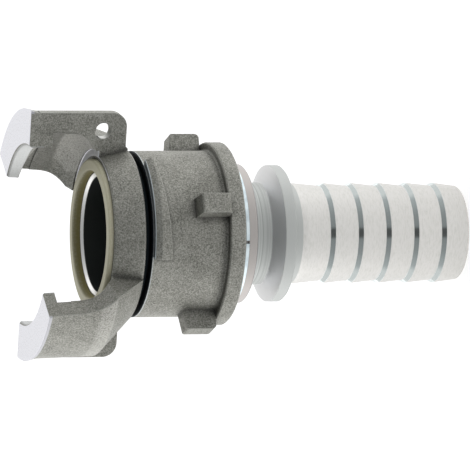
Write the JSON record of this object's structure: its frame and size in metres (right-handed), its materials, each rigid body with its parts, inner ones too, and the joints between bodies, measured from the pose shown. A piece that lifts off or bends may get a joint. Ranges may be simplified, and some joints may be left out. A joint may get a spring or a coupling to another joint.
{
  "type": "quarter turn hose coupling",
  "caption": "Symmetrical claw coupling half with a turning locking ring, a face seal and a barbed hose tail, for joining fire hoses by a quarter turn.",
  "frame": {"origin": "on the axis, in the hose tail's flat end face", "axes": "+Z along the waterway from the hose tail to the claws; the picture's upward direction is +X and the picture's camera stands on the -Y side"},
  "size_m": [0.0952, 0.078, 0.1708],
  "materials": {
    "cast_head": "sand cast, machined on the claw ends",
    "cast_ring": "sand cast",
    "turned_tail": "turned, bright",
    "seal_rubber": "moulded, matte",
    "washer": "matte",
    "spring_wire": "zinc plated"
  },
  "bodies": {
    "root": {"coupling_head": "cast_head", "hose_tail": "turned_tail", "face_seal": "seal_rubber", "tail_seal": "washer", "snap_ring": "spring_wire"},
    "ring": {"locking_ring": "cast_ring"}
  },
  "joints": [
    {"name": "ring_turn", "type": "hinge", "parent": "root", "child": "ring", "pos_m": [0, 0, 0.11], "axis": [0, 0, 1], "range_deg": [-90, 0]}
  ]
}
